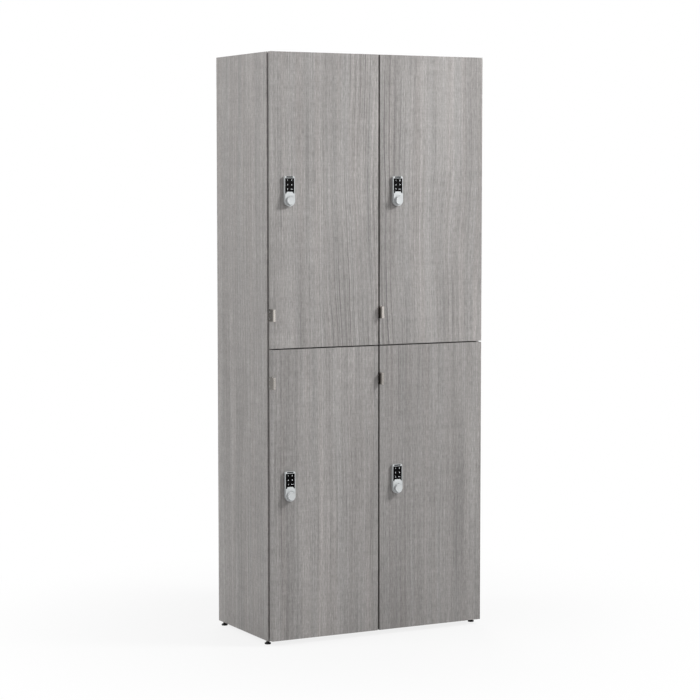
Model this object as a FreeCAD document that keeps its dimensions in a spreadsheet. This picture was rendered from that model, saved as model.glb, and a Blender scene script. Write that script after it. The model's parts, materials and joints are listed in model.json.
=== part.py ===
import FreeCAD, Part
import os

import Sketcher
from FreeCAD import Placement, Rotation, Vector

# Locker cabinet: a laminate carcass with four compartments, four overlay doors on concealed hinges,
# a keypad lock and an edge pull on each door, and four levelling feet.
# Frame: +X to the right, +Y to the back, +Z up; the origin is at the bottom centre of the whole object.
# Lengths are in millimetres.

doc = FreeCAD.newDocument("locker_cabinet")
sheet = doc.addObject("Spreadsheet::Sheet", "sizes")


# ---------------------------------------------------------------- sizes

class Size:
    """A length that carries its number and the spreadsheet expression behind it."""

    def __init__(self, value, text):
        self.value = value
        self.text = text

    def joined(self, sign, other, value):
        return Size(value, f"({self.text} {sign} {other.text})")

    def __add__(self, other):
        other = as_size(other)
        return self.joined("+", other, self.value + other.value)

    def __sub__(self, other):
        other = as_size(other)
        return self.joined("-", other, self.value - other.value)

    def __mul__(self, other):
        other = as_size(other)
        return self.joined("*", other, self.value * other.value)

    def __truediv__(self, other):
        other = as_size(other)
        return self.joined("/", other, self.value / other.value)

    def __neg__(self):
        return Size(-self.value, f"(0 - {self.text})")


def as_size(number):
    return number if isinstance(number, Size) else Size(float(number), f"({float(number)})")


cell_count = 0


def driving(alias, value):
    """Puts one driving dimension in the spreadsheet and returns it as a Size."""
    global cell_count
    cell_count += 1
    sheet.set(f"A{cell_count}", alias)
    sheet.set(f"B{cell_count}", str(value))
    sheet.setAlias(f"B{cell_count}", alias)
    return Size(float(value), f"sizes.{alias}")


cab_width = driving("cab_width", 762)
panel_height = driving("panel_height", 1829)
carcass_depth = driving("carcass_depth", 371)
foot_height = driving("foot_height", 13)
board = driving("board", 18)
door_board = driving("door_board", 16)
back_board = driving("back_board", 6)
side_gap = driving("side_gap", 3)
seam_gap = driving("seam_gap", 4)
foot_gap = driving("foot_gap", 3)
door_gap = driving("door_gap", 7)

lock_inset = driving("lock_inset", 60)
lock_width = driving("lock_width", 35)
lock_length = driving("lock_length", 93)
lock_rim = driving("lock_rim", 8.5)
lock_boss = driving("lock_boss", 11)
lock_corner = driving("lock_corner", 4)
keypad_width = driving("keypad_width", 31)
keypad_top = driving("keypad_top", 6.5)
keypad_foot = driving("keypad_foot", 54)
keypad_leg = driving("keypad_leg", 3)
tongue_rise = driving("tongue_rise", 6)
tongue_slope = driving("tongue_slope", 3)
keypad_thick = driving("keypad_thick", 2)
keypad_sink = driving("keypad_sink", 0.3)
strip_width = driving("strip_width", 22)
strip_length = driving("strip_length", 5)
knob_radius = driving("knob_radius", 12.75)
knob_reach = driving("knob_reach", 20)
knob_thick = driving("knob_thick", 6.5)
neck_radius = driving("neck_radius", 8.5)
spindle_radius = driving("spindle_radius", 4)
rear_width = driving("rear_width", 34)
rear_depth = driving("rear_depth", 22)
rear_length = driving("rear_length", 100)
cam_length = driving("cam_length", 40)
cam_width = driving("cam_width", 16)
cam_thick = driving("cam_thick", 3)

pull_height = driving("pull_height", 38)
pull_sheet = driving("pull_sheet", 2)
pull_reach = driving("pull_reach", 16)
pull_lip = driving("pull_lip", 9)
pull_from_seam = driving("pull_from_seam", 105)

hinge_inset = driving("hinge_inset", 100)
cup_radius = driving("cup_radius", 17.5)
cup_depth = driving("cup_depth", 13.2)
cup_edge = driving("cup_edge", 3)
cup_wall = driving("cup_wall", 1)
cup_floor = driving("cup_floor", 0.8)
flange_thick = driving("flange_thick", 1)
flange_length = driving("flange_length", 58)
pivot_inset = driving("pivot_inset", 7)
pivot_depth = driving("pivot_depth", 6.5)
pin_radius = driving("pin_radius", 1.2)
knuckle_radius = driving("knuckle_radius", 2)
arm_thick = driving("arm_thick", 2)
arm_width = driving("arm_width", 10)
arm_line = driving("arm_line", 21)
arm_length = driving("arm_length", 62)
plate_length = driving("plate_length", 40)
plate_width = driving("plate_width", 54)

foot_radius = driving("foot_radius", 10)
foot_inset = driving("foot_inset", 23)
foot_base = driving("foot_base", 4.5)
foot_taper = driving("foot_taper", 2)
foot_neck = driving("foot_neck", 5.5)
stud_radius = driving("stud_radius", 4)
stud_length = driving("stud_length", 24)
insert_radius = driving("insert_radius", 6)
insert_length = driving("insert_length", 42)

screw_radius = driving("screw_radius", 1.7)
screw_head = driving("screw_head", 3.5)
screw_length = driving("screw_length", 11)

RUNNING = 0.05                      # radial clearance of a pin or spindle that turns in its bore

depth = knob_reach + door_board + door_gap + carcass_depth
face_y = knob_reach - depth / 2                     # front faces of the doors
carcass_y = face_y + door_board + door_gap          # front edges of the carcass
back_y = depth / 2
left_x = -cab_width / 2
inner_depth = carcass_depth - back_board            # depth of every panel between the two sides
inner_width = cab_width - board * 2
bay_width = (inner_width - board) / 2
door_width = cab_width / 2 - side_gap * 2
door_height = (panel_height - foot_gap - seam_gap) / 2
seam_z = foot_height + (panel_height + foot_gap) / 2
shelf_z = seam_z - board / 2
lock_radius = lock_width / 2
hinge_heights = (hinge_inset, door_height - hinge_inset)

COLUMNS = {"left": left_x + side_gap, "right": side_gap}
TIERS = {"lower": foot_height + foot_gap, "upper": seam_z + seam_gap / 2}
DOORS = [(f"{tier}_{column}", tier, column) for tier in TIERS for column in COLUMNS]

nodes = []


def bind(thing, prop, size):
    thing.setExpression(prop, as_size(size).text)


def place(thing, x=0, y=0, z=0):
    for axis, size in zip("xyz", (x, y, z)):
        bind(thing, f"Placement.Base.{axis}", size)


def door_corner(tier, column):
    """The front, bottom, left corner of a door, which is the origin of everything mounted on it."""
    return COLUMNS[column], face_y, TIERS[tier]


# ---------------------------------------------------------------- primitives and booleans

def box(x, y, z, dx, dy, dz):
    thing = doc.addObject("Part::Box", "box")
    bind(thing, "Length", dx)
    bind(thing, "Width", dy)
    bind(thing, "Height", dz)
    place(thing, x, y, z)
    return thing


TURNS = {
    "x": Rotation(Vector(0, 1, 0), 90),
    "y": Rotation(Vector(1, 0, 0), -90),
    "z": Rotation(),
}


def rod(axis, x, y, z, radius, length):
    """A cylinder that starts at the point given and runs along +axis."""
    thing = doc.addObject("Part::Cylinder", "rod")
    bind(thing, "Radius", radius)
    bind(thing, "Height", length)
    thing.Placement = Placement(Vector(), TURNS[axis])
    place(thing, x, y, z)
    return thing


def cone(axis, x, y, z, radius, end_radius, length):
    thing = doc.addObject("Part::Cone", "cone")
    bind(thing, "Radius1", radius)
    bind(thing, "Radius2", end_radius)
    bind(thing, "Height", length)
    thing.Placement = Placement(Vector(), TURNS[axis])
    place(thing, x, y, z)
    return thing


def fuse(*shapes):
    thing = doc.addObject("Part::MultiFuse", "fuse")
    thing.Shapes = list(shapes)
    return thing


def cut(base, *tools):
    thing = doc.addObject("Part::Cut", "cut")
    thing.Base = base
    thing.Tool = tools[0] if len(tools) == 1 else group(tools)
    return thing


def group(shapes):
    """Separate solids that make one node, such as a set of identical screws."""
    thing = doc.addObject("Part::Compound", "group")
    thing.Links = list(shapes)
    return thing


def node(thing, label, x=0, y=0, z=0):
    """Names a finished sub-part and puts it in its place."""
    thing.Label = label
    place(thing, x, y, z)
    nodes.append(thing)
    return thing


def screw(axis, x, y, z, side):
    """A countersunk screw whose head face is at the point given; side is +1 or -1 along the axis."""
    if side > 0:
        head = cone(axis, x, y, z, screw_head, screw_radius, screw_radius)
        shank = rod(axis, x, y, z, screw_radius, screw_length)
    else:
        shift = {"x": (-1, 0, 0), "y": (0, -1, 0), "z": (0, 0, -1)}[axis]
        head_at = [as_size(at) + screw_radius * step for at, step in zip((x, y, z), shift)]
        shank_at = [as_size(at) + screw_length * step for at, step in zip((x, y, z), shift)]
        head = cone(axis, *head_at, screw_radius, screw_head, screw_radius)
        shank = rod(axis, *shank_at, screw_radius, screw_length)
    return fuse(head, shank)


# ---------------------------------------------------------------- part design bodies

def new_body(label, x=0, y=0, z=0):
    body = doc.addObject("PartDesign::Body", label)
    node(body, label, x, y, z)
    return body


def new_sketch(body, role, offset=0):
    """A sketch on one of the body's origin planes, moved along the plane's normal by offset."""
    sketch = body.newObject("Sketcher::SketchObject", "sketch")
    plane = next(item for item in body.Origin.OriginFeatures if item.Role == role)
    sketch.AttachmentSupport = (plane, [""])
    sketch.MapMode = "FlatFace"
    bind(sketch, "AttachmentOffset.Base.z", offset)
    return sketch


def hold_point(sketch, geometry, point, x, y):
    """Ties a sketch point to its two distances from the sketch's origin."""
    for kind, axis, size in (("DistanceX", -2, x), ("DistanceY", -1, y)):
        size = as_size(size)
        if size.value == 0:
            sketch.addConstraint(Sketcher.Constraint("PointOnObject", geometry, point, axis))
        else:
            index = sketch.addConstraint(Sketcher.Constraint(kind, -1, 1, geometry, point, size.value))
            bind(sketch, f"Constraints[{index}]", size)


def polygon(sketch, points):
    points = [(as_size(x), as_size(y)) for x, y in points]
    first = sketch.GeometryCount
    ends = points[1:] + points[:1]
    for (x, y), (end_x, end_y) in zip(points, ends):
        start = Vector(x.value, y.value, 0)
        sketch.addGeometry(Part.LineSegment(start, Vector(end_x.value, end_y.value, 0)), False)
    for index in range(len(points)):
        after = first + (index + 1) % len(points)
        sketch.addConstraint(Sketcher.Constraint("Coincident", first + index, 2, after, 1))
        hold_point(sketch, first + index, 1, *points[index])


def rectangle(sketch, x, y, width, height):
    x = as_size(x)
    y = as_size(y)
    polygon(sketch, [(x, y), (x + width, y), (x + width, y + height), (x, y + height)])


def circle(sketch, x, y, radius):
    x = as_size(x)
    y = as_size(y)
    radius = as_size(radius)
    shape = Part.Circle(Vector(x.value, y.value, 0), Vector(0, 0, 1), radius.value)
    index = sketch.addGeometry(shape, False)
    hold_point(sketch, index, 3, x, y)
    constraint = sketch.addConstraint(Sketcher.Constraint("Radius", index, radius.value))
    bind(sketch, f"Constraints[{constraint}]", radius)


def pad(body, sketch, length, backwards=False):
    feature = body.newObject("PartDesign::Pad", "pad")
    feature.Profile = sketch
    bind(feature, "Length", length)
    feature.Reversed = backwards
    return feature


def pocket(body, sketch, length, backwards=False):
    """A pocket that must remove material: the volume before and after is compared."""
    doc.recompute()
    before = body.Shape.Volume
    feature = body.newObject("PartDesign::Pocket", "pocket")
    feature.Profile = sketch
    bind(feature, "Length", length)
    feature.Reversed = backwards
    doc.recompute()
    if body.Shape.Volume > before - 1:
        raise RuntimeError(f"a pocket of {body.Label} removes nothing")
    return feature


def drill(body, role, offset, holes, length, backwards=False):
    """Round holes of one depth, drilled from one plane; holes holds (x, y, radius)."""
    sketch = new_sketch(body, role, offset)
    for x, y, radius in holes:
        circle(sketch, x, y, radius)
    return pocket(body, sketch, length, backwards)


def fillet(body, radius, chosen):
    """Rounds the edges of the body's tip that chosen() accepts."""
    doc.recompute()
    base = body.Tip
    names = [f"Edge{i + 1}" for i, edge in enumerate(base.Shape.Edges) if chosen(edge)]
    feature = body.newObject("PartDesign::Fillet", "fillet")
    feature.Base = (base, names)
    bind(feature, "Radius", radius)
    return feature


# ---------------------------------------------------------------- carcass

# Every panel end is held by two cam fittings and two dowels, at these distances from the front edge.
cam_stations = (as_size(50), inner_depth - 50)
dowel_stations = (as_size(92), inner_depth - 92)
CAM_RADIUS = 7.5
CAM_HEIGHT = 12.5
CAM_SETBACK = 24                    # from the panel's end to the cam's centre
BOLT_RADIUS = 3
BOLT_GRIP = 10                      # how far a bolt or dowel enters the side panel
DOWEL_RADIUS = 4
DOWEL_LENGTH = 30

top_z = foot_height + panel_height - board
# Heights of the panel centres above the foot of the side panels.
joint_heights = (board / 2, shelf_z + board / 2 - foot_height, panel_height - board / 2)


def make_side_panel(side, x, inward):
    """A side panel, drilled in its inner face for the panel joints and in its foot for the inserts."""
    body = new_body(f"side_panel_{side}", x, carcass_y, foot_height)
    sketch = new_sketch(body, "YZ_Plane")
    rectangle(sketch, 0, 0, carcass_depth, panel_height)
    pad(body, sketch, board)
    holes = []
    for height in joint_heights:
        holes += [(station, height, BOLT_RADIUS) for station in cam_stations]
        holes += [(station, height, DOWEL_RADIUS) for station in dowel_stations]
    if inward > 0:
        drill(body, "YZ_Plane", board, holes, BOLT_GRIP)
    else:
        drill(body, "YZ_Plane", 0, holes, BOLT_GRIP, True)
    foot_x = foot_radius if inward > 0 else board - foot_radius
    feet = [(foot_x, station, insert_radius) for station in (foot_inset, carcass_depth - foot_inset)]
    drill(body, "XY_Plane", 0, feet, insert_length, True)


make_side_panel("left", left_x, 1)
make_side_panel("right", -left_x - board, -1)


def make_level_panel(label, x, z, width, cams_at, cam_side):
    """A horizontal panel. cams_at lists the ends, 0 or 1, with cam fittings; cam_side is +1 where the
    cams are let in from above and -1 from below."""
    body = new_body(label, x, carcass_y, z)
    sketch = new_sketch(body, "XY_Plane")
    rectangle(sketch, 0, 0, width, inner_depth)
    pad(body, sketch, board)
    cams = []
    for end in cams_at:
        centre = as_size(CAM_SETBACK) if end == 0 else width - CAM_SETBACK
        cams += [(centre, station, CAM_RADIUS) for station in cam_stations]
    if cam_side > 0:
        drill(body, "XY_Plane", board, cams, CAM_HEIGHT)
    else:
        drill(body, "XY_Plane", 0, cams, CAM_HEIGHT, True)
    # End drillings for the bolts and the dowels.
    for end in cams_at:
        bolts = [(station, board / 2, BOLT_RADIUS) for station in cam_stations]
        dowels = [(station, board / 2, DOWEL_RADIUS) for station in dowel_stations]
        start = as_size(0) if end == 0 else width
        drill(body, "YZ_Plane", start, bolts, CAM_SETBACK - CAM_RADIUS + 1, end == 0)
        drill(body, "YZ_Plane", start, dowels, DOWEL_LENGTH - BOLT_GRIP, end == 0)
    return body


make_level_panel("top_panel", left_x + board, top_z, inner_width, (0, 1), -1)
make_level_panel("bottom_panel", left_x + board, foot_height, inner_width, (0, 1), -1)
make_level_panel("fixed_shelf_left", left_x + board, shelf_z, bay_width, (0,), -1)
make_level_panel("fixed_shelf_right", board / 2, shelf_z, bay_width, (1,), -1)

partition = new_body("centre_partition", -board / 2, carcass_y, foot_height + board)
partition_sketch = new_sketch(partition, "YZ_Plane")
rectangle(partition_sketch, 0, 0, inner_depth, panel_height - board * 2)
pad(partition, partition_sketch, board)
partition_pins = [(station, shelf_z - foot_height - board / 2, DOWEL_RADIUS) for station in dowel_stations]
drill(partition, "YZ_Plane", 0, partition_pins, board, True)

back = new_body("back_panel", left_x + board, back_y - back_board, foot_height)
back_sketch = new_sketch(back, "XZ_Plane")
rectangle(back_sketch, 0, 0, inner_width, panel_height)
pad(back, back_sketch, back_board, True)

# The shelves' free ends hang on two through dowels in the partition.
shelf_holes = {"fixed_shelf_left": bay_width, "fixed_shelf_right": as_size(0)}
for shelf_body in [item for item in nodes if item.Label in shelf_holes]:
    end = shelf_holes[shelf_body.Label]
    pins = [(station, board / 2, DOWEL_RADIUS) for station in dowel_stations]
    drill(shelf_body, "YZ_Plane", end, pins, DOWEL_LENGTH - BOLT_GRIP, end.value == 0)


def joint_ends():
    """Every joint of a level panel with a side panel: the joint plane's x and its direction inwards."""
    for height in joint_heights:
        for side in (1, -1):
            yield left_x * side + board * side, side, height + foot_height


cams = []
dowels = []
for joint_x, inward, joint_z in joint_ends():
    for station in cam_stations:
        cam = rod("z", joint_x + CAM_SETBACK * inward, carcass_y + station, joint_z - board / 2,
                  CAM_RADIUS, CAM_HEIGHT)
        if inward > 0:
            bolt_x = joint_x - BOLT_GRIP
        else:
            bolt_x = joint_x - (CAM_SETBACK - CAM_RADIUS + 1)
        bolt = rod("x", bolt_x, carcass_y + station, joint_z, BOLT_RADIUS,
                   BOLT_GRIP + CAM_SETBACK - CAM_RADIUS + 1)
        cams.append(fuse(cam, bolt))
    for station in dowel_stations:
        dowel_x = joint_x - BOLT_GRIP if inward > 0 else joint_x - (DOWEL_LENGTH - BOLT_GRIP)
        dowels.append(rod("x", dowel_x, carcass_y + station, joint_z, DOWEL_RADIUS, DOWEL_LENGTH))
for station in dowel_stations:
    reach = DOWEL_LENGTH - BOLT_GRIP
    dowels.append(rod("x", -board / 2 - reach, carcass_y + station, shelf_z + board / 2,
                      DOWEL_RADIUS, board + reach * 2))
node(group(cams), "cam_fittings")
node(group(dowels), "wood_dowels")


# ---------------------------------------------------------------- feet

foot_stations = {"front": carcass_y + foot_inset, "rear": carcass_y + carcass_depth - foot_inset}
foot_sides = {"left": left_x + foot_radius, "right": -left_x - foot_radius}
FOOT_NUT = 1.5

inserts = []
for end, foot_y in foot_stations.items():
    for side, foot_x in foot_sides.items():
        base = rod("z", 0, 0, 0, foot_radius, foot_base)
        taper = cone("z", 0, 0, foot_base, foot_radius, foot_neck, foot_taper)
        nut = rod("z", 0, 0, foot_base + foot_taper, foot_neck, FOOT_NUT)
        stud = rod("z", 0, 0, foot_base, stud_radius, foot_height - foot_base + stud_length)
        node(fuse(base, taper, nut, stud), f"foot_{end}_{side}", foot_x, foot_y, 0)
        sleeve = rod("z", foot_x, foot_y, foot_height, insert_radius, insert_length)
        bore = rod("z", foot_x, foot_y, foot_height, stud_radius + RUNNING, insert_length)
        inserts.append(cut(sleeve, bore))
node(group(inserts), "foot_inserts")


# ---------------------------------------------------------------- doors

CAM_GAP = 1                         # between the rear unit and the cam
SPINDLE_END = 2                     # how far a spindle stands out behind its cam
KNOB_GAP = 0.5                      # between a knob's neck and the boss
KNOB_TAPER = 0.6
REAR_LID = 30                       # height of the battery lid on a rear unit
LID_GROOVE = 0.6


def lock_at(tier, column):
    """The bottom left corner of a lock on the door's face; the spindle is at mid-height of the door."""
    corner_x, corner_y, corner_z = door_corner(tier, column)
    return corner_x + lock_inset - lock_radius, corner_y, corner_z + door_height / 2 - lock_radius


def pull_z(tier):
    """Height of a pull's foot above the foot of its door."""
    from_edge = pull_from_seam - seam_gap / 2
    middle = from_edge if tier == "upper" else door_height - from_edge
    return middle - pull_height / 2


cup_x = door_width - cup_edge - cup_radius
for name, tier, column in DOORS:
    door = new_body(f"door_{name}", *door_corner(tier, column))
    outline = new_sketch(door, "XZ_Plane")
    rectangle(outline, 0, 0, door_width, door_height)
    pad(door, outline, door_board, True)
    cups = [(cup_x, height, cup_radius) for height in hinge_heights]
    drill(door, "XZ_Plane", cup_depth - door_board, cups, cup_depth)
    drill(door, "XZ_Plane", 0, [(lock_inset, door_height / 2, spindle_radius + 1)], door_board)


# ---------------------------------------------------------------- pulls

PULL_SCREW_STEP = 11                # from a pull's middle up or down to its screws

for name, tier, column in DOORS:
    corner_x, corner_y, corner_z = door_corner(tier, column)
    pull = new_body(f"door_pull_{name}", corner_x - pull_sheet, corner_y - pull_reach,
                    corner_z + pull_z(tier))
    profile = new_sketch(pull, "XY_Plane")
    pull_back = pull_reach + door_board
    polygon(profile, [(0, 0), (pull_lip, 0), (pull_lip, pull_sheet), (pull_sheet, pull_sheet),
                      (pull_sheet, pull_back), (0, pull_back)])
    pad(pull, profile, pull_height)
    fillet(pull, pull_sheet, lambda edge: edge.Length > pull_height.value - 1
           and edge.BoundBox.XMax < 0.1 and edge.BoundBox.YMax < 0.1)
    holes = [(pull_reach + door_board / 2, pull_height / 2 + step * PULL_SCREW_STEP, screw_head)
             for step in (-1, 1)]
    drill(pull, "YZ_Plane", 0, holes, pull_sheet, True)


# ---------------------------------------------------------------- locks

def keypad_outline(sketch, z_down):
    """The touch panel's outline: straight sides, and two legs beside the boss's tongue."""
    left = (lock_width - keypad_width) / 2
    right = left + keypad_width
    foot = lock_length - keypad_foot
    head = lock_length - keypad_top
    neck_left = left + keypad_leg
    neck_right = right - keypad_leg
    crest = foot + tongue_rise
    polygon(sketch, [(left, foot - z_down), (neck_left, foot - z_down),
                     (neck_left + tongue_slope, crest - z_down), (neck_right - tongue_slope, crest - z_down),
                     (neck_right, foot - z_down), (right, foot - z_down),
                     (right, head - z_down), (left, head - z_down)])


for name, tier, column in DOORS:
    at_x, at_y, at_z = lock_at(tier, column)

    # Housing: a slim case with a round foot, a raised boss round the knob and a recess for the panel.
    housing = new_body(f"lock_housing_{name}", at_x, at_y, at_z)
    case = new_sketch(housing, "XZ_Plane")
    rectangle(case, 0, lock_radius, lock_width, lock_length - lock_radius)
    pad(housing, case, lock_rim)
    round_foot = new_sketch(housing, "XZ_Plane")
    circle(round_foot, lock_radius, lock_radius, lock_radius)
    pad(housing, round_foot, lock_boss)
    boss = new_sketch(housing, "XZ_Plane")
    boss_top = lock_length - keypad_foot
    side = (lock_width - keypad_width) / 2 + keypad_leg
    polygon(boss, [(0, lock_radius), (lock_width, lock_radius), (lock_width, boss_top),
                   (lock_width - side, boss_top), (lock_width - side - tongue_slope, boss_top + tongue_rise),
                   (side + tongue_slope, boss_top + tongue_rise), (side, boss_top), (0, boss_top)])
    pad(housing, boss, lock_boss)
    panel_recess = new_sketch(housing, "XZ_Plane", lock_rim - keypad_thick)
    keypad_outline(panel_recess, 0)
    pocket(housing, panel_recess, keypad_thick, True)
    strip_recess = new_sketch(housing, "XZ_Plane", lock_rim - keypad_thick)
    rectangle(strip_recess, (lock_width - strip_width) / 2, lock_length - strip_length,
              strip_width, strip_length)
    pocket(housing, strip_recess, keypad_thick, True)
    drill(housing, "XZ_Plane", 0, [(lock_radius, lock_radius, spindle_radius + RUNNING)], lock_boss, True)
    fillet(housing, lock_corner, lambda edge: edge.BoundBox.ZMin > lock_length.value - 0.1
           and (edge.BoundBox.XMax < 0.1 or edge.BoundBox.XMin > lock_width.value - 0.1))

    # Touch panel, with the dark strip above it as a second solid.
    panel_body = doc.addObject("PartDesign::Body", "touch_panel")
    panel_sketch = new_sketch(panel_body, "XZ_Plane", lock_rim - keypad_thick)
    keypad_outline(panel_sketch, 0)
    pad(panel_body, panel_sketch, keypad_thick - keypad_sink)
    strip = box((lock_width - strip_width) / 2, keypad_sink - lock_rim, lock_length - strip_length,
                strip_width, keypad_thick - keypad_sink, strip_length)
    node(group([panel_body, strip]), f"lock_keypad_{name}", at_x, at_y, at_z)

    # Knob: a short grip on a narrower neck, with the spindle that passes through to the cam.
    grip = cone("y", lock_radius, -knob_reach, lock_radius,
                knob_radius - KNOB_TAPER, knob_radius, knob_thick)
    neck = rod("y", lock_radius, knob_thick - knob_reach, lock_radius, neck_radius,
               knob_reach - knob_thick - lock_boss - KNOB_GAP)
    cam_y = door_board + rear_depth + CAM_GAP
    spindle = rod("y", lock_radius, -lock_boss - KNOB_GAP, lock_radius, spindle_radius,
                  lock_boss + KNOB_GAP + cam_y + cam_thick + SPINDLE_END)
    node(fuse(grip, neck, spindle), f"lock_knob_{name}", at_x, at_y, at_z)

    # Cam: hangs down at rest and turns to point at the strike.
    hub = rod("y", lock_radius, cam_y, lock_radius, cam_width / 2, cam_thick)
    blade = box(lock_radius - cam_width / 2, cam_y, lock_radius - cam_length + cam_width / 2,
                cam_width, cam_thick, cam_length - cam_width / 2)
    tip = rod("y", lock_radius, cam_y, lock_radius - cam_length + cam_width / 2, cam_width / 2, cam_thick)
    eye = rod("y", lock_radius, cam_y - 1, lock_radius, spindle_radius, cam_thick + 2)
    node(cut(fuse(hub, blade, tip), eye), f"lock_cam_{name}", at_x, at_y, at_z)

    # Rear unit: the battery case on the inside of the door, bored for the spindle.
    case_x = lock_radius - rear_width / 2
    unit = box(case_x, door_board, 0, rear_width, rear_depth, rear_length)
    seam = cut(box(case_x - 1, door_board, rear_length - REAR_LID, rear_width + 2, rear_depth, LID_GROOVE),
               box(case_x + LID_GROOVE, door_board - 1, 0, rear_width - LID_GROOVE * 2,
                   rear_depth + 1 - LID_GROOVE, rear_length))
    bore = rod("y", lock_radius, door_board - 1, lock_radius, spindle_radius + RUNNING, rear_depth + 2)
    node(cut(unit, seam, bore), f"lock_rear_unit_{name}", at_x, at_y, at_z)


# ---------------------------------------------------------------- hinges

PIN_HALF = 9.4                      # half of a pin's length: its ends sit in the cup's wall
CUP_SCREW_STEP = 24                 # from a cup's centre up or down to its screws
WING_WIDTH = 20
pin_x = door_width - pivot_inset


def make_cup(height):
    """A hinge cup with its flange on the door's back, bored for the pin and its two screws."""
    bowl = rod("y", cup_x, door_board - cup_depth, height, cup_radius, cup_depth)
    wing = box(cup_x - WING_WIDTH / 2, door_board, height - flange_length / 2,
               WING_WIDTH, flange_thick, flange_length)
    rim = rod("y", cup_x, door_board, height, cup_radius, flange_thick)
    hollow = rod("y", cup_x, door_board - cup_depth + cup_floor, height, cup_radius - cup_wall,
                 cup_depth + flange_thick)
    sockets = [screw("y", cup_x, door_board + flange_thick, height + step * CUP_SCREW_STEP, -1)
               for step in (-1, 1)]
    return cut(fuse(bowl, wing, rim), hollow, make_pin(height), *sockets)


def make_pin(height):
    return rod("z", pin_x, pivot_depth, height - PIN_HALF, pin_radius, PIN_HALF * 2)


for name, tier, column in DOORS:
    corner = door_corner(tier, column)
    node(group([make_cup(height) for height in hinge_heights]), f"hinge_cups_{name}", *corner)
    node(group([make_pin(height) for height in hinge_heights]), f"hinge_pins_{name}", *corner)
    screws = []
    for step in (-1, 1):
        for height in hinge_heights:
            screws.append(screw("y", cup_x, door_board + flange_thick, height + step * CUP_SCREW_STEP, -1))
        pull_middle = pull_z(tier) + pull_height / 2
        screws.append(screw("x", -pull_sheet, door_board / 2, pull_middle + step * PULL_SCREW_STEP, 1))
    node(group(screws), f"door_screws_{name}", *corner)

# Distance from a door's hinge edge back to the face that carries the hinge plates.
overlays = {"left": board / 2 - side_gap, "right": board - side_gap}
CRANK_GAP = 2                       # from the carcass's front edge to the arm's crank
PLATE_SETBACK = 20                  # from the carcass's front edge to a mounting plate
PLATE_SCREW_STEP = 20


def make_arm(tier, column, height):
    """A fixed arm: an eye round the pin, a hook into the cup, a crank and a leaf along the panel."""
    corner_x, corner_y, corner_z = door_corner(tier, column)
    edge = corner_x + door_width
    low = corner_z + height - arm_width / 2
    half = arm_thick / 2
    elbow = edge - arm_line - half
    leaf = edge - overlays[column] - arm_thick * 2
    eye_x = edge - pivot_inset
    eye_y = corner_y + pivot_depth
    crank_y = carcass_y + CRANK_GAP
    eye = rod("z", eye_x, eye_y, low, knuckle_radius, arm_width)
    hook = box(elbow, eye_y - half, low, eye_x - elbow, arm_thick, arm_width)
    shank = box(elbow, eye_y - half, low, arm_thick, crank_y - eye_y + arm_thick, arm_width)
    crank = box(elbow, crank_y, low, leaf - elbow + arm_thick, arm_thick, arm_width)
    tail = box(leaf, crank_y, low, arm_thick, arm_length, arm_width)
    hole = rod("z", eye_x, eye_y, low - 1, pin_radius + RUNNING, arm_width + 2)
    return cut(fuse(eye, hook, shank, crank, tail), hole)


arms = []
plates = []
root_screws = []
for name, tier, column in DOORS:
    corner_x, corner_y, corner_z = door_corner(tier, column)
    plate_x = corner_x + door_width - overlays[column] - arm_thick
    plate_y = carcass_y + PLATE_SETBACK
    for height in hinge_heights:
        arms.append(make_arm(tier, column, height))
        middle = corner_z + height
        plate = box(plate_x, plate_y, middle - plate_width / 2, arm_thick, plate_length, plate_width)
        sockets = []
        for step in (-1, 1):
            spot = (plate_x, plate_y + plate_length / 2, middle + step * PLATE_SCREW_STEP)
            sockets.append(screw("x", *spot, 1))
            root_screws.append(screw("x", *spot, 1))
        plates.append(cut(plate, *sockets))
node(group(arms), "hinge_arms")
node(group(plates), "hinge_mounting_plates")


# ---------------------------------------------------------------- strikes, bumpers and screws

STRIKE_HEIGHT = 60
STRIKE_LEAF = 24
STRIKE_SHEET = 2
STRIKE_CLEAR = 5                    # between a strike's flange and the rear unit beside it
STRIKE_SCREW_STEP = 22
BUMPER_RADIUS = 2.8
BUMPER_GAP = 0.5                    # from a bumper to the closed door
BUMPER_INSET = 40
strike_faces = {"left": left_x + board, "right": board / 2}
bumper_lines = {"left": left_x + (board + side_gap) / 2, "right": (board / 2 + side_gap) / 2}
bumper_thick = door_gap - BUMPER_GAP
strikes = []
bumpers = []
for name, tier, column in DOORS:
    corner_x, corner_y, corner_z = door_corner(tier, column)
    middle = corner_z + door_height / 2
    low = middle - STRIKE_HEIGHT / 2
    face_x = strike_faces[column]
    flange = corner_x + lock_inset - rear_width / 2 - STRIKE_CLEAR - face_x
    flange_y = face_y + door_board + rear_depth - STRIKE_SHEET
    stop = box(face_x, flange_y, low, flange, STRIKE_SHEET, STRIKE_HEIGHT)
    leaf = box(face_x, flange_y, low, STRIKE_SHEET, STRIKE_LEAF, STRIKE_HEIGHT)
    sockets = []
    for step in (-1, 1):
        spot = (face_x + STRIKE_SHEET, flange_y + STRIKE_LEAF * 0.6, middle + step * STRIKE_SCREW_STEP)
        sockets.append(screw("x", *spot, -1))
        root_screws.append(screw("x", *spot, -1))
    strikes.append(cut(fuse(stop, leaf), *sockets))
    for height in (as_size(BUMPER_INSET), door_height - BUMPER_INSET):
        bumpers.append(rod("y", bumper_lines[column], carcass_y - bumper_thick, corner_z + height,
                           BUMPER_RADIUS, bumper_thick))
node(group(strikes), "latch_strikes")
node(group(bumpers), "door_bumpers")

# The back panel is screwed to the edges of the panels in front of it.
back_heights = (foot_height + board / 2, shelf_z + board / 2, foot_height + panel_height - board / 2)
for height in back_heights:
    for share in (-0.75, -0.25, 0.25, 0.75):
        root_screws.append(screw("y", inner_width / 2 * share, back_y, height, -1))
for share in (0.2, 0.35, 0.65, 0.8):
    root_screws.append(screw("y", 0, back_y, foot_height + panel_height * share, -1))
node(group(root_screws), "chipboard_screws")


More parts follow.
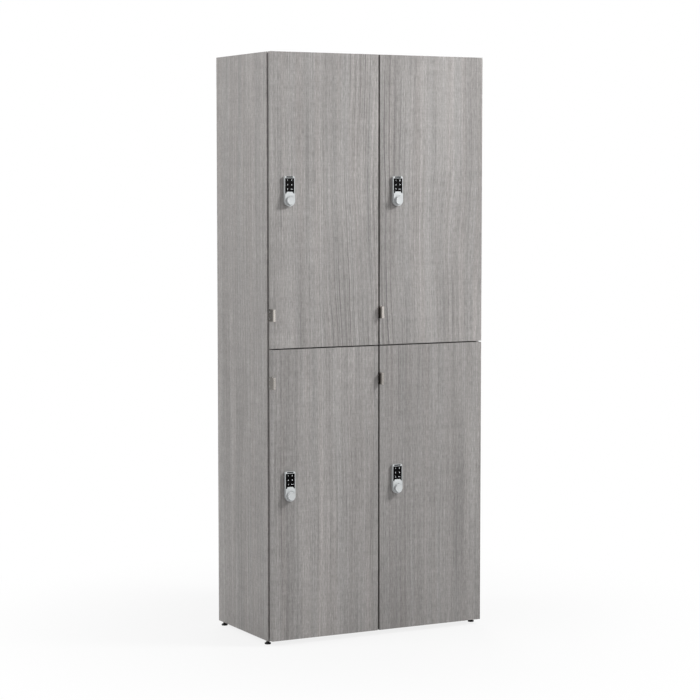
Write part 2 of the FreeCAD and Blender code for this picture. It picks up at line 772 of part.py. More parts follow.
# ---------------------------------------------------------------- check and export

doc.recompute()
for item in doc.Objects:
    faults = [state for state in item.State if state in ("Invalid", "Error")]
    if faults:
        raise RuntimeError(f"{item.Name} ({item.Label}) is {faults}")

os.makedirs("parts", exist_ok=True)
for item in nodes:
    if item.Shape.isNull() or not item.Shape.isValid():
        raise RuntimeError(f"{item.Label} has no valid shape")
    item.Shape.exportStep(f"parts/{item.Label}.step")
print(f"{len(nodes)} nodes written")
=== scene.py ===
import json
import math

import bmesh
import bpy
from mathutils import Matrix, Vector

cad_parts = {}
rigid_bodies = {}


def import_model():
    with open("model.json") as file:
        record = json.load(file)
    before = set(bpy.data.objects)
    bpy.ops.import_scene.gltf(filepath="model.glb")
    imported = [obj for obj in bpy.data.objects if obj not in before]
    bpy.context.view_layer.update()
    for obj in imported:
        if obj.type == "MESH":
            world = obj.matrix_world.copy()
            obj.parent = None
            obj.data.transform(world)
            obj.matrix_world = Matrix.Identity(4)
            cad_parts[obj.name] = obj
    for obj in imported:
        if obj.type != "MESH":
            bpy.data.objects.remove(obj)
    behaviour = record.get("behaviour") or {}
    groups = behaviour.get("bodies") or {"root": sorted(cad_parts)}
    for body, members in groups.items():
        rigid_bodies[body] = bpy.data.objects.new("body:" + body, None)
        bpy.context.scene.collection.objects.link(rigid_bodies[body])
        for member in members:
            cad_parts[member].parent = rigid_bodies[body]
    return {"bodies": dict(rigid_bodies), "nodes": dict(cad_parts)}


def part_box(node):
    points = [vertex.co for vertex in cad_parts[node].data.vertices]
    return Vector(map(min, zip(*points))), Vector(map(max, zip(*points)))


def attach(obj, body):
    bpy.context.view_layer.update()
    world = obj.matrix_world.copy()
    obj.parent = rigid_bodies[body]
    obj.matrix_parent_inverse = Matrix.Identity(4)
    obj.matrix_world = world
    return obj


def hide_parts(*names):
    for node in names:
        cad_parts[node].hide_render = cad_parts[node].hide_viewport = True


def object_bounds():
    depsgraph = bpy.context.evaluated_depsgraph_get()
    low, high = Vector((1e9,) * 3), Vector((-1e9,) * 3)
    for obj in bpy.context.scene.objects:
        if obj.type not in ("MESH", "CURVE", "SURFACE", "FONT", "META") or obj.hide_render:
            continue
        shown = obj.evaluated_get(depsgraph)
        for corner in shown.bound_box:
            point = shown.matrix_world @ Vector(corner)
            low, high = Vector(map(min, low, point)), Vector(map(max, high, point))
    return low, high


# Looks of the locker cabinet: laminate, edge pulls, keypad locks, feet, hinges and fittings.
# Row frame in metres: +X to the right, +Y to the back, +Z up.

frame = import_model()
cad_low, cad_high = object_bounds()

MM = 0.001
DOORS = [f"{tier}_{side}" for tier in ("lower", "upper") for side in ("left", "right")]


# ---------------------------------------------------------------- shader helpers

class Shader:
    """A material with short ways to add and join its nodes."""

    def __init__(self, name):
        self.material = bpy.data.materials.new(name)
        self.material.use_nodes = True
        self.tree = self.material.node_tree
        self.surface = self.tree.nodes["Principled BSDF"]
        self.coordinates = self.add("TexCoord")
        self.place = self.coordinates.outputs["Object"]
        self.normal = self.coordinates.outputs["Normal"]

    def add(self, kind, **settings):
        node = self.tree.nodes.new("ShaderNode" + kind)
        for key, value in settings.items():
            setattr(node, key, value)
        return node

    def feed(self, socket, value):
        if isinstance(value, bpy.types.NodeSocket):
            self.tree.links.new(value, socket)
        else:
            socket.default_value = value

    def math(self, operation, *values):
        node = self.add("Math", operation=operation)
        for socket, value in zip(node.inputs, values):
            self.feed(socket, value)
        return node.outputs[0]

    def vector(self, operation, *values):
        node = self.add("VectorMath", operation=operation)
        for socket, value in zip(node.inputs, values):
            self.feed(socket, value)
        return node.outputs["Value" if operation in ("LENGTH", "DOT_PRODUCT") else "Vector"]

    def noise(self, place, scale, detail=2.0, roughness=0.5):
        """Smooth noise from about 0 to 1; scale is a number, or three for an uneven grain."""
        if isinstance(scale, tuple):
            place, scale = self.vector("MULTIPLY", place, scale), 1.0
        node = self.add("TexNoise")
        self.feed(node.inputs["Vector"], place)
        node.inputs["Scale"].default_value = scale
        node.inputs["Detail"].default_value = detail
        node.inputs["Roughness"].default_value = roughness
        return node.outputs["Fac"]

    def spread(self, value, low, high, to_low=0.0, to_high=1.0, smooth=False):
        node = self.add("MapRange", interpolation_type="SMOOTHSTEP" if smooth else "LINEAR")
        for socket, number in zip(node.inputs, (value, low, high, to_low, to_high)):
            self.feed(socket, number)
        return node.outputs["Result"]

    def mix(self, share, first, second):
        node = self.add("Mix", data_type="RGBA")
        self.feed(node.inputs[0], share)
        self.feed(node.inputs[6], first)
        self.feed(node.inputs[7], second)
        return node.outputs[2]

    def swing(self, value, amount):
        """Turns noise from 0 to 1 into a brightness factor round 1."""
        return self.spread(value, 0.0, 1.0, 1.0 - amount, 1.0 + amount)

    def product(self, *values):
        result = values[0]
        for value in values[1:]:
            result = self.math("MULTIPLY", result, value)
        return result

    def join(self, value):
        """One number as all three parts of a vector or colour."""
        node = self.add("CombineXYZ")
        for socket in node.inputs:
            self.feed(socket, value)
        return node.outputs[0]

    def split(self, vector):
        node = self.add("SeparateXYZ")
        self.feed(node.inputs[0], vector)
        return node.outputs

    def bump(self, height, distance, strength):
        node = self.add("Bump")
        node.inputs["Strength"].default_value = strength
        node.inputs["Distance"].default_value = distance
        self.feed(node.inputs["Height"], height)
        return node.outputs["Normal"]

    def set(self, **values):
        """Sets the surface's sockets; an underscore in a name stands for a space."""
        for name, value in values.items():
            self.feed(self.surface.inputs[name.replace("_", " ")], value)


def grey(red, green, blue):
    """A colour given as 0 to 255 screen values, in the linear form that Blender wants."""
    return tuple(((c / 255 + 0.055) / 1.055) ** 2.4 for c in (red, green, blue)) + (1.0,)


# ---------------------------------------------------------------- materials

def laminate(name, seed, level, tint_and_painted_light, lines, bend, heart):
    """Grey wood-grain laminate. The grain runs along Z, or along X on a level board. The growth lines
    are strongest near heart, a distance in metres across the grain."""
    s = Shader(name)
    place = s.split(s.place)
    face = s.split(s.normal)
    on_end = s.math("GREATER_THAN", s.math("ABSOLUTE", face["Z"]), 0.7)
    width = s.math("ADD", place["X"], place["Y"])
    if level:
        across, along = s.math("ADD", place["Y"], place["Z"]), place["X"]
    else:
        # The narrow ends of an upright board carry edge band whose grain runs along the strip.
        across = s.spread(on_end, 0.0, 1.0, width, place["Y"])
        along = s.spread(on_end, 0.0, 1.0, place["Z"], place["X"])
    from_heart = s.math("ABSOLUTE", s.math("SUBTRACT", across, heart))
    across = s.math("ADD", across, seed * 3.17)
    along = s.math("ADD", along, seed * 1.71)

    def grain(across_scale, along_scale, detail=1.0, roughness=0.5, source=None):
        """Noise with that many waves in a metre across and along the grain."""
        spot = s.add("CombineXYZ")
        s.feed(spot.inputs[0], s.math("MULTIPLY", source or across, across_scale))
        s.feed(spot.inputs[1], s.math("MULTIPLY", along, along_scale))
        return s.noise(spot.outputs[0], 1.0, detail, roughness)

    # Slow waves bend the grain, more in some zones than in others.
    near_heart = s.spread(from_heart, 0.05, 0.15, 1.0, 0.0, smooth=True)
    zone = s.math("MAXIMUM", near_heart, s.spread(grain(3.1, 0.7), 0.42, 0.62, 0.15, 1.0, smooth=True))
    slow = s.math("MULTIPLY", s.math("SUBTRACT", grain(2.0, 0.9), 0.5), 0.09)
    quick = s.math("MULTIPLY", s.math("SUBTRACT", grain(6.0, 2.6), 0.5), 0.034)
    sway = s.product(s.math("ADD", slow, quick), zone, bend)
    bent = s.math("ADD", across, sway)

    def rings(count, sharpness):
        return s.math("POWER", s.math("FRACT", s.math("MULTIPLY", bent, count)), sharpness)

    where = s.math("MULTIPLY", s.spread(grain(4.0, 0.8), 0.46, 0.66, 0.0, 1.0, smooth=True), 0.5)
    where = s.product(s.math("MAXIMUM", where, near_heart), s.spread(grain(12.0, 1.5), 0.3, 0.6))
    ring = s.math("ADD", rings(57.0, 6.0), s.math("MULTIPLY", rings(131.0, 3.0), 0.5))
    growth = s.math("SUBTRACT", 1.0, s.product(ring, where, 0.42 * lines))

    broad = s.swing(grain(9.0, 0.35, source=bent), 0.22)
    bands = s.swing(grain(34.0, 0.6, source=bent), 0.15)
    narrow = s.swing(grain(110.0, 1.0, source=bent), 0.15)
    streaks = s.swing(grain(330.0, 1.8, 2.0, 0.7, source=bent), 0.5)
    fibre = grain(900.0, 20.0, 1.0, source=bent)
    fibres = s.swing(fibre, 0.4)
    mottle = s.swing(grain(10.0, 3.0, 2.0, 0.6), 0.12)
    figure = s.swing(grain(7.0, 30.0, 2.0, 0.6), 0.09)
    dashes = s.swing(grain(430.0, 60.0, 2.0, 0.6, source=bent), 0.42)
    ripple = s.swing(grain(50.0, 260.0, 1.0), 0.1)
    pores = s.spread(grain(1300.0, 90.0), 0.62, 0.76, 1.0, 0.62, smooth=True)
    shade = s.product(growth, broad, bands, narrow, streaks, fibres, mottle, figure, dashes, ripple, pores)

    warm = s.spread(grain(40.0, 0.8, source=bent), 0.3, 0.7)
    # The tint holds the board's own tone together with painted light and shade that evens out how the lamps
    # light each board.
    base = 0.25 * tint_and_painted_light
    tone = s.mix(warm, (base * 1.025, base * 0.995, base * 0.972, 1.0),
                 (base * 1.045, base * 0.992, base * 0.962, 1.0))
    s.set(Base_Color=s.vector("MULTIPLY", tone, s.join(shade)))
    s.set(Roughness=s.spread(fibre, 0.3, 0.7, 0.48, 0.6), Specular_IOR_Level=0.22)
    s.set(Normal=s.bump(fibre, 0.00006, 0.5))
    return s.material


def plain(name, colour, roughness, metallic=0.0, vary=0.05, grain=800.0, bump=0.00002, specular=0.5,
          stretch=None):
    """A plastic, paint or metal with fine speckle in colour, gloss and height."""
    s = Shader(name)
    fine = s.noise(s.place, stretch or grain, 3.0)
    slow = s.noise(s.place, 40.0, 2.0)
    shade = s.product(s.swing(fine, vary), s.swing(slow, vary))
    s.set(Base_Color=s.vector("MULTIPLY", colour[:3], s.join(shade)))
    s.set(Roughness=s.spread(slow, 0.3, 0.7, roughness * 0.88, roughness * 1.12))
    s.set(Metallic=metallic, Specular_IOR_Level=specular, Normal=s.bump(fine, bump, 0.6))
    return s.material


silver = plain("satin_silver", grey(190, 193, 194), 0.34, metallic=0.2, vary=0.04, grain=1500.0)
glass = plain("keypad_glass", grey(4, 4, 5), 0.12, vary=0.1, grain=60.0, bump=0.000004, specular=0.06)
# A dark grey for the inset in the strip at the top of the lock: a painted reflection of dark surroundings,
# as a bevel there would catch.
dark_strip_painted_reflection = plain("lock_strip_painted_reflection", grey(58, 60, 61), 0.3, vary=0.08, grain=300.0, specular=0.1)
marks = plain("keypad_print", grey(225, 228, 230), 0.5, vary=0.02, specular=0.1)
nickel = plain("satin_nickel", grey(198, 193, 187), 0.2, metallic=1.0, vary=0.06,
               stretch=(2500.0, 2500.0, 60.0))
black = plain("black_plastic", grey(22, 22, 23), 0.42, vary=0.18, grain=1200.0, bump=0.00004)
steel = plain("nickel_steel", grey(190, 190, 188), 0.3, metallic=0.95, vary=0.08, grain=500.0)
zinc = plain("zinc", grey(176, 178, 180), 0.45, metallic=0.85, vary=0.12, grain=300.0)
beech = plain("beech", grey(196, 158, 116), 0.6, vary=0.2, stretch=(60.0, 900.0, 900.0))
rubber = plain("clear_bumper", grey(200, 202, 200), 0.3, vary=0.05)

MATERIALS = {
    "cam_fittings": zinc, "wood_dowels": beech, "hinge_arms": steel, "hinge_mounting_plates": steel,
    "latch_strikes": steel, "door_bumpers": rubber, "foot_inserts": steel, "chipboard_screws": steel,
    "hinge_cups": steel, "hinge_pins": steel, "door_pull": nickel, "door_screws": steel,
    "lock_housing": silver, "lock_keypad": glass, "lock_knob": silver, "lock_cam": steel,
    "lock_rear_unit": black, "foot": black,
}
# For each board: the seed of its grain, whether it lies flat, its tint (its own tone with painted light and
# shade that evens out the lamps' uneven light on the boards), how strong its growth lines and its bends
# are, and where across it their heart is.
BOARDS = {
    "side_panel_left": (1.0, False, 1.1, 0.4, 0.3, -0.36),
    "side_panel_right": (2.0, False, 1.0, 0.4, 0.4, 0.4),
    "top_panel": (3.0, True, 1.0, 0.4, 0.4, 1.8),
    "bottom_panel": (4.0, True, 1.0, 0.4, 0.4, 0.0),
    "centre_partition": (5.0, False, 1.0, 0.4, 0.4, 0.0),
    "fixed_shelf_left": (6.0, True, 1.0, 0.4, 0.4, 0.9),
    "fixed_shelf_right": (7.0, True, 1.0, 0.4, 0.4, 0.9),
    "back_panel": (8.0, False, 1.0, 0.3, 0.4, 0.2),
    "door_lower_left": (9.0, False, 1.01, 0.5, 0.3, -0.56),
    "door_lower_right": (10.0, False, 0.89, 0.5, 0.25, -0.16),
    "door_upper_left": (11.0, False, 1.06, 1.2, 0.9, -0.28),
    "door_upper_right": (12.0, False, 0.99, 1.2, 0.8, -0.16),
}
BOARD_ROUNDING = 0.5 * MM
FITTING_ROUNDING = 0.25 * MM


def soften(thing, width, segments=2):
    """Rounds the sharp edges of a piece, which catch the light."""
    weld = thing.modifiers.new("weld", "WELD")
    weld.merge_threshold = 0.002 * MM
    bevel = thing.modifiers.new("bevel", "BEVEL")
    bevel.width = width
    bevel.segments = segments
    bevel.limit_method = "ANGLE"
    bevel.angle_limit = math.radians(40.0)
    shading = thing.modifiers.new("shading", "WEIGHTED_NORMAL")
    shading.keep_sharp = True


def dress(name, thing):
    if name in BOARDS:
        material = laminate(f"laminate_{name}", *BOARDS[name])
    else:
        stem = max((key for key in MATERIALS if name.startswith(key)), key=len)
        material = MATERIALS[stem]
    thing.data.materials.clear()
    thing.data.materials.append(material)
    soften(thing, BOARD_ROUNDING if name in BOARDS else FITTING_ROUNDING)


for name, thing in frame["nodes"].items():
    dress(name, thing)


# ---------------------------------------------------------------- shapes

def outline(*corners, steps=6):
    """A closed outline through (x, y, radius) corners in millimetres, each rounded by an arc."""
    points = []
    for index, (x, y, radius) in enumerate(corners):
        here = Vector((x, y))
        before = (Vector(corners[index - 1][:2]) - here).normalized()
        after = (Vector(corners[(index + 1) % len(corners)][:2]) - here).normalized()
        half = before.angle(after) / 2
        start = here + before * radius / math.tan(half)
        centre = here + (before + after).normalized() * radius / math.sin(half)
        first = math.atan2(start.y - centre.y, start.x - centre.x)
        end = here + after * radius / math.tan(half)
        turn = math.atan2(end.y - centre.y, end.x - centre.x) - first
        turn = (turn + math.pi) % (2 * math.pi) - math.pi
        for step in range(steps + 1):
            angle = first + turn * step / steps
            points.append(centre + radius * Vector((math.cos(angle), math.sin(angle))))
    return points


def ring(x, y, radius, steps=48):
    turns = [2 * math.pi * step / steps for step in range(steps)]
    return [Vector((x + radius * math.cos(turn), y + radius * math.sin(turn))) for turn in turns]


FACING_FRONT = Matrix.Rotation(math.pi / 2, 4, "X")     # turns a shape drawn in X and Y to face -Y


class Piece:
    """A visible piece in the making. Its parts are given in millimetres from an anchor point."""

    def __init__(self, anchor):
        self.anchor = Matrix.Translation(anchor) @ Matrix.Scale(MM, 4)
        self.mesh = bmesh.new()
        self.materials = []

    def take(self, mesh, material, turn):
        """Adds a mesh to the piece and frees it."""
        if material not in self.materials:
            self.materials.append(material)
        mesh.transform(self.anchor @ turn)
        index = self.materials.index(material)
        for face in mesh.polygons:
            face.material_index = index
            face.use_smooth = True
        self.mesh.from_mesh(mesh)
        bpy.data.meshes.remove(mesh)

    def take_curve(self, data, material, turn):
        thing = bpy.data.objects.new("drawing", data)
        bpy.context.scene.collection.objects.link(thing)
        bpy.context.view_layer.update()
        shown = thing.evaluated_get(bpy.context.evaluated_depsgraph_get())
        self.take(bpy.data.meshes.new_from_object(shown), material, turn)
        bpy.data.objects.remove(thing)
        bpy.data.curves.remove(data)

    def slab(self, loops, low, high, fillet, material, front=True):
        """A plate with rounded rims, cut to the first loop, with the other loops as holes. It faces
        the front, with low and high as its reach towards -Y, or lies flat between those heights."""
        data = bpy.data.curves.new("slab", "CURVE")
        data.dimensions = "2D"
        data.fill_mode = "BOTH"
        data.extrude = (high - low) / 2 - fillet
        data.bevel_depth = fillet
        data.offset = -fillet
        data.bevel_resolution = 2
        for loop in loops:
            spline = data.splines.new("POLY")
            spline.points.add(len(loop) - 1)
            for point, spot in zip(spline.points, loop):
                point.co = (spot.x, spot.y, 0.0, 1.0)
            spline.use_cyclic_u = True
        lift = Matrix.Translation((0.0, 0.0, (low + high) / 2))
        self.take_curve(data, material, (FACING_FRONT if front else Matrix.Identity(4)) @ lift)

    def lathe(self, profile, material, front=True, steps=64):
        """A turned part: (radius, reach) points turned about the axis that faces the front, or about Z."""
        mesh = bmesh.new()
        rounds = []
        for radius, reach in profile:
            turns = [2 * math.pi * step / steps for step in range(steps)]
            rounds.append([mesh.verts.new((radius * math.cos(turn), radius * math.sin(turn), reach))
                           for turn in turns])
        for low, high in zip(rounds, rounds[1:]):
            for step in range(steps):
                after = (step + 1) % steps
                mesh.faces.new((low[step], low[after], high[after], high[step]))
        bmesh.ops.remove_doubles(mesh, verts=mesh.verts, dist=1e-5)
        bmesh.ops.recalc_face_normals(mesh, faces=mesh.faces)
        result = bpy.data.meshes.new("lathe")
        mesh.to_mesh(result)
        mesh.free()
        self.take(result, material, FACING_FRONT if front else Matrix.Identity(4))

    def hull(self, corners, rounding, material):
        """The convex solid round some (x, reach, z) corners, with its edges rounded."""
        mesh = bmesh.new()
        for x, reach, z in corners:
            mesh.verts.new((x, -reach, z))
        bmesh.ops.convex_hull(mesh, input=mesh.verts)
        bmesh.ops.dissolve_limit(mesh, angle_limit=0.02, verts=mesh.verts, edges=mesh.edges)
        bmesh.ops.bevel(mesh, geom=mesh.edges, offset=rounding, segments=3, affect="EDGES", profile=0.5)
        bmesh.ops.recalc_face_normals(mesh, faces=mesh.faces)
        result = bpy.data.meshes.new("hull")
        mesh.to_mesh(result)
        mesh.free()
        self.take(result, material, Matrix.Identity(4))

    def digit(self, text, x, z, reach, size, material):
        data = bpy.data.curves.new("digit", "FONT")
        data.body = text
        data.size = size
        data.extrude = 0.02
        data.offset = 0.12
        data.align_x = "CENTER"
        data.align_y = "CENTER"
        self.take_curve(data, material, FACING_FRONT @ Matrix.Translation((x, z, reach)))

    def place(self, name, body, slot, *nodes):
        """Makes the object, which rides on a body and stands for some CAD nodes."""
        data = bpy.data.meshes.new(name)
        self.mesh.to_mesh(data)
        self.mesh.free()
        data.set_sharp_from_angle(angle=math.radians(50.0))
        for material in self.materials:
            data.materials.append(material)
        thing = bpy.data.objects.new(name, data)
        bpy.context.scene.collection.objects.link(thing)
        shading = thing.modifiers.new("shading", "WEIGHTED_NORMAL")
        shading.keep_sharp = True
        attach(thing, body)
        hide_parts(*nodes)


# ---------------------------------------------------------------- locks

LOCK_HALF = 17.5
LOCK_HEAD = 75.5                    # from the knob's axis up to the top of the lock
RIM = 8.5
BOSS = 11.0
BOSS_HEAD = 21.5
TONGUE_HEAD = 27.5
LEG_FOOT = 22.4                     # the touch panel's legs end here, beside the tongue
KEYPAD_HALF = 15.5
KEYPAD_HEAD = 69.0
GLASS = 8.2
RECESS = 6.5
STRIP_HALF = 11.0
SPINDLE = 4.0
RUNNING = 0.05
REAR_LID = 30.0                     # the battery lid's height, at the top of the rear unit
LID_GAP = 0.4                       # half the groove between the lid and the unit
OVERLAP = 0.02                      # keeps the faces of joined shapes from lying in one plane
PRINT_LOW, PRINT_HIGH, PRINT_FILLET = GLASS - 0.05, GLASS + 0.03, 0.01

keypad_loop = [(-KEYPAD_HALF, LEG_FOOT, 0.4), (-12.5, LEG_FOOT, 0.4), (-9.5, TONGUE_HEAD, 0.4),
               (9.5, TONGUE_HEAD, 0.4), (12.5, LEG_FOOT, 0.4), (KEYPAD_HALF, LEG_FOOT, 0.4),
               (KEYPAD_HALF, KEYPAD_HEAD, 0.8), (-KEYPAD_HALF, KEYPAD_HEAD, 0.8)]
MARKS = (("1", -7.0, 62.8), ("2", 7.0, 62.8), ("3", -7.0, 48.9), ("4", 7.0, 48.9), ("5", -7.0, 35.5))
KEY_AT = (7.0, 35.5)


def keypad_outline(grow):
    """The touch panel's outline, with its legs beside the tongue, grown outwards a little."""
    middle = (LEG_FOOT + KEYPAD_HEAD) / 2
    wide = 1 + grow / KEYPAD_HALF
    tall = 1 + grow / (KEYPAD_HEAD - middle)
    return outline(*[(x * wide, middle + (z - middle) * tall, radius) for x, z, radius in keypad_loop])


def lock(name, low, high):
    """The parts of a door's lock, round a knob axis that is worked out from the housing's box."""
    axis = Vector(((low.x + high.x) / 2, high.y, low.z + LOCK_HALF * MM))
    door = f"door_{name}"

    housing = Piece(axis)
    case_foot = BOSS_HEAD - OVERLAP
    case = outline((-LOCK_HALF, case_foot, 0.05), (LOCK_HALF, case_foot, 0.05),
                   (LOCK_HALF, LOCK_HEAD, 4.0), (-LOCK_HALF, LOCK_HEAD, 4.0))
    strip = outline((-STRIP_HALF, LOCK_HEAD - 5.0, 0.5), (STRIP_HALF, LOCK_HEAD - 5.0, 0.5),
                    (STRIP_HALF, LOCK_HEAD - 0.6, 0.5), (-STRIP_HALF, LOCK_HEAD - 0.6, 0.5))
    housing.slab([case, keypad_outline(0.1), strip], 0.0, RIM, 0.5, silver)
    floor_loop = outline((-KEYPAD_HALF - 1.0, 19.0, 1.0), (KEYPAD_HALF + 1.0, 19.0, 1.0),
                         (KEYPAD_HALF + 1.0, LOCK_HEAD - 1.5, 3.0),
                         (-KEYPAD_HALF - 1.0, LOCK_HEAD - 1.5, 3.0))
    housing.slab([floor_loop], 0.5, RECESS, 0.1, silver)
    foot = outline((-LOCK_HALF, -LOCK_HALF, LOCK_HALF - 0.01), (LOCK_HALF, -LOCK_HALF, LOCK_HALF - 0.01),
                   (LOCK_HALF, BOSS_HEAD, 0.05), (-LOCK_HALF, BOSS_HEAD, 0.05), steps=24)
    housing.slab([foot, ring(0.0, 0.0, 14.6)], 0.0, BOSS, 0.9, silver)
    housing.lathe([(14.9, 2.0), (14.9, 10.2), (14.4, 10.75), (13.9, 10.75), (13.5, 10.3), (12.9, 10.3),
                   (12.5, 10.75), (9.0, 10.75), (SPINDLE + RUNNING, 10.75), (SPINDLE + RUNNING, 2.0),
                   (14.9, 2.0)], silver)
    housing.hull([(x * side, reach, z) for side in (-1, 1)
                  for x, reach, z in ((12.9, RECESS - 1, 19.8), (12.9, BOSS - OVERLAP, 19.8),
                                      (12.5, BOSS - OVERLAP, 21.2), (12.5, RECESS - 1, 21.2),
                                      (9.6, RIM + 0.1, TONGUE_HEAD), (9.6, RECESS - 1, TONGUE_HEAD))],
                 0.3, silver)
    housing.place(f"lock_case_{name}", door, "satin_silver", f"lock_housing_{name}")

    keypad = Piece(axis)
    keypad.slab([keypad_outline(0.0)], RECESS, GLASS, 0.25, glass)
    # The strip at the lock's top: a real recess, with its inset painted dark as a reflection.
    keypad.slab([strip], RECESS, GLASS - 0.3, 0.2, dark_strip_painted_reflection)
    for text, x, z in MARKS:
        keypad.digit(text, x, z, GLASS, 6.0, marks)
    x, z = KEY_AT
    keypad.slab([ring(x - 2.0, z, 1.5, 24), ring(x - 2.0, z, 0.8, 24)],
                PRINT_LOW, PRINT_HIGH, PRINT_FILLET, marks)
    keypad.slab([outline((x - 0.7, z - 0.35, 0.1), (x + 3.2, z - 0.35, 0.1), (x + 3.2, z + 0.35, 0.1),
                         (x - 0.7, z + 0.35, 0.1))], PRINT_LOW, PRINT_HIGH, PRINT_FILLET, marks)
    for tooth in (1.4, 2.6):
        keypad.slab([outline((x + tooth, z - 1.4, 0.1), (x + tooth + 0.6, z - 1.4, 0.1),
                             (x + tooth + 0.6, z - 0.3, 0.1), (x + tooth, z - 0.3, 0.1))],
                    PRINT_LOW, PRINT_HIGH, PRINT_FILLET, marks)
    keypad.place(f"lock_glass_{name}", door, "black_gloss", f"lock_keypad_{name}")

    knob = Piece(axis)
    tip = (axis.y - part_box(f"lock_knob_{name}")[1].y) / MM
    knob.lathe([(0.0, 19.55), (8.6, 19.6), (10.6, 19.75), (11.3, 19.98), (11.75, 19.95), (12.1, 19.7),
                (12.28, 19.2), (12.7, 14.4), (12.6, 13.9), (12.2, 13.55), (11.6, 13.5), (8.5, 13.5),
                (8.5, BOSS + RUNNING), (SPINDLE, BOSS + RUNNING), (SPINDLE, tip + 0.5),
                (SPINDLE - 0.5, tip), (0.0, tip)], silver)
    knob.place(f"lock_grip_{name}", f"knob_{name}", "satin_silver", f"lock_knob_{name}")

    low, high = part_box(f"lock_rear_unit_{name}")
    half = (high.x - low.x) / 2 / MM
    bottom, top = (low.z - axis.z) / MM, (high.z - axis.z) / MM
    near, far = (axis.y - low.y) / MM, (axis.y - high.y) / MM
    seam = top - REAR_LID
    unit = Piece(axis)
    bore = ring(0.0, 0.0, SPINDLE + RUNNING, 32)
    unit.slab([outline((-half, bottom, 2.5), (half, bottom, 2.5), (half, seam - LID_GAP, 0.3),
                       (-half, seam - LID_GAP, 0.3)), bore], far, near, 0.8, black)
    unit.slab([outline((-half, seam + LID_GAP, 0.3), (half, seam + LID_GAP, 0.3), (half, top, 2.5),
                       (-half, top, 2.5))], far, near, 0.8, black)
    unit.slab([outline((1 - half, seam - 3, 0.3), (half - 1, seam - 3, 0.3), (half - 1, seam + 3, 0.3),
                       (1 - half, seam + 3, 0.3))], far + 1, near - 1, 0.2, black)
    unit.place(f"lock_battery_case_{name}", door, "black_plastic", f"lock_rear_unit_{name}")


for name in DOORS:
    lock(name, *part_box(f"lock_housing_{name}"))


# ---------------------------------------------------------------- pulls and feet

PULL_SHEET = 2.0
PULL_BEND = 2.6                     # the outer radius of the bend
HEAD_PROUD = 0.15                   # how far the screws' heads stand out of the pull's plate
THREAD_PITCH = 1.25
THREAD_CREST, THREAD_ROOT = 3.95, 3.5
THREAD_START = 8.4                  # above the foot's neck


def pull(name):
    """A bent strip: a plate on the door's edge and a lip in front of its face."""
    low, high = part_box(f"door_pull_{name}")
    size = (high - low) / MM
    piece = Piece(low)
    shape = outline((HEAD_PROUD, 0.0, PULL_BEND), (size.x, 0.0, 0.7), (size.x, PULL_SHEET, 0.7),
                    (PULL_SHEET, PULL_SHEET, 0.7), (PULL_SHEET, size.y, 0.6), (HEAD_PROUD, size.y, 0.6))
    piece.slab([shape], 0.0, size.z, 0.35, nickel, front=False)
    piece.place(f"pull_strip_{name}", f"door_{name}", "satin_nickel", f"door_pull_{name}")


def foot(name):
    """A levelling foot turned in one piece with its threaded stud."""
    low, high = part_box(name)
    piece = Piece(((low.x + high.x) / 2, (low.y + high.y) / 2, low.z))
    top = (high.z - low.z) / MM
    profile = [(0.0, 0.4), (6.5, 0.4), (7.0, 0.0), (9.2, 0.0), (9.8, 0.35), (10.0, 1.0), (10.0, 3.7),
               (9.7, 4.3), (9.1, 4.6), (7.2, 5.6), (6.0, 6.3), (5.5, 6.7), (5.5, 7.6), (5.2, 7.9),
               (3.6, 7.9)]
    height = THREAD_START
    while height < top - 1.5:
        profile += [(THREAD_CREST, height), (THREAD_ROOT, height + 0.6)]
        height += THREAD_PITCH
    profile += [(3.4, top - 0.6), (2.8, top), (0.0, top)]
    piece.lathe(profile, black, front=False, steps=40)
    piece.place(f"levelling_{name}", name, "black_plastic", name)


for name in DOORS:
    pull(name)
for name in frame["bodies"]:
    if name.startswith("foot_"):
        foot(name)


# ---------------------------------------------------------------- floor, light and camera

def seen_white(tree, lit, share):
    """Mixes a shader's output with pure white, by that share, where the camera looks straight at it."""
    has_surface = tree.nodes.get("Principled BSDF")
    white = tree.nodes.new("ShaderNodeEmission" if has_surface else "ShaderNodeBackground")
    white.inputs["Color"].default_value = (1.0, 1.0, 1.0, 1.0)
    white.inputs["Strength"].default_value = 1.0
    path = tree.nodes.new("ShaderNodeLightPath")
    choice = tree.nodes.new("ShaderNodeMixShader")
    amount = tree.nodes.new("ShaderNodeMath")
    amount.operation = "MULTIPLY"
    tree.links.new(path.outputs["Is Camera Ray"], amount.inputs[0])
    if isinstance(share, float):
        amount.inputs[1].default_value = share
    else:
        tree.links.new(share, amount.inputs[1])
    tree.links.new(amount.outputs[0], choice.inputs[0])
    tree.links.new(lit, choice.inputs[1])
    tree.links.new(white.outputs[0], choice.inputs[2])
    return choice.outputs[0]


def studio():
    """A pale floor that fades to white away from the cabinet."""
    floor_mesh = bpy.data.meshes.new("studio_floor")
    reach = 14.0
    floor_mesh.from_pydata([(-reach, -reach, 0), (reach, -reach, 0), (reach, reach, 0), (-reach, reach, 0)],
                           [], [(0, 1, 2, 3)])
    floor = bpy.data.objects.new("studio_floor", floor_mesh)
    bpy.context.scene.collection.objects.link(floor)
    s = Shader("floor")
    s.set(Base_Color=(0.5, 0.5, 0.5, 1.0), Roughness=0.8, Specular_IOR_Level=0.1)
    away = s.spread(s.vector("LENGTH", s.place), 0.4, 1.5, 0.84, 1.0, smooth=True)
    surface = seen_white(s.tree, s.surface.outputs[0], away)
    s.tree.links.new(surface, s.tree.nodes["Material Output"].inputs["Surface"])
    floor_mesh.materials.append(s.material)


def area_light(name, place, target, size, power):
    data = bpy.data.lights.new(name, "AREA")
    data.shape = "DISK"
    data.size = size
    data.energy = power
    light = bpy.data.objects.new(name, data)
    light.location = place
    light.rotation_euler = (Vector(target) - Vector(place)).to_track_quat("-Z", "Y").to_euler()
    bpy.context.scene.collection.objects.link(light)
    return light


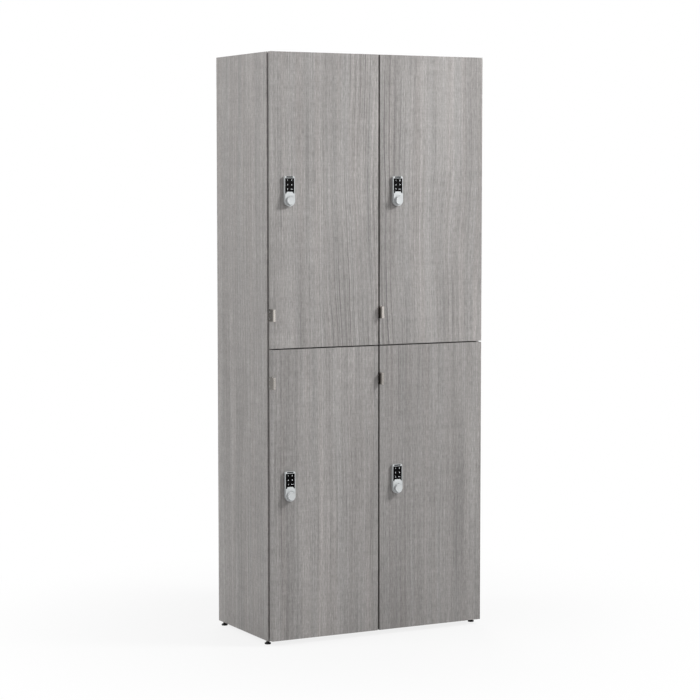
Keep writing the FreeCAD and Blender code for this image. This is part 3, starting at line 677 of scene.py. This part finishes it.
studio()
middle = (cad_low + cad_high) / 2
key = area_light("key", (2.3, -1.82, 2.94), (0.0, cad_low.y, 1.15), 0.9, 140)
key.visible_glossy = False          # the sky's bright patch makes the highlights, more softly
area_light("fill", (-3.2, 0.5, 2.8), middle, 2.0, 78)
area_light("rear", (1.6, 3.6, 2.4), middle, 1.6, 50)

# An even sky, with what the satin metal reflects: a dark patch low behind the cabinet and a bright
# one in front of it.
world = bpy.data.worlds.new("studio_world")
world.use_nodes = True
sky = world.node_tree
lit = sky.nodes["Background"]
lit.inputs["Color"].default_value = (1.0, 1.0, 1.0, 1.0)
bearing = sky.nodes.new("ShaderNodeTexCoord").outputs["Generated"]


def sky_patch(toward, edge, heart, outside, inside):
    """The sky's strength outside and inside a soft round patch; edge and heart are cosines."""
    facing = sky.nodes.new("ShaderNodeVectorMath")
    facing.operation = "DOT_PRODUCT"
    facing.inputs[1].default_value = toward
    sky.links.new(bearing, facing.inputs[0])
    patch = sky.nodes.new("ShaderNodeMapRange")
    patch.interpolation_type = "SMOOTHSTEP"
    for socket, number in zip(list(patch.inputs)[1:5], (edge, heart, outside, inside)):
        socket.default_value = number
    sky.links.new(facing.outputs["Value"], patch.inputs[0])
    return patch.outputs[0]


strength = sky.nodes.new("ShaderNodeMath")
strength.operation = "ADD"
sky.links.new(sky_patch((-0.47, 0.88, -0.08), 0.72, 0.93, 0.65, 0.05), strength.inputs[0])
sky.links.new(sky_patch((0.55, -0.83, -0.05), 0.85, 0.96, 0.0, 1.0), strength.inputs[1])
sky.links.new(strength.outputs[0], lit.inputs["Strength"])
sky.links.new(seen_white(sky, lit.outputs[0], 1.0), sky.nodes["World Output"].inputs["Surface"])
bpy.context.scene.world = world

camera_data = bpy.data.cameras.new("camera")
camera_data.sensor_width = 36.0
camera_data.lens = 110.47
camera = bpy.data.objects.new("camera", camera_data)
camera.location = (-3.250, -6.134, 1.439)
yaw, pitch = math.radians(27.88), math.radians(4.43)
look = Vector((math.sin(yaw) * math.cos(pitch), math.cos(yaw) * math.cos(pitch), -math.sin(pitch)))
camera.rotation_euler = look.to_track_quat("-Z", "Y").to_euler()
camera_data.clip_end = 100.0
bpy.context.scene.collection.objects.link(camera)
bpy.context.scene.camera = camera
bpy.context.scene.view_settings.view_transform = "Standard"
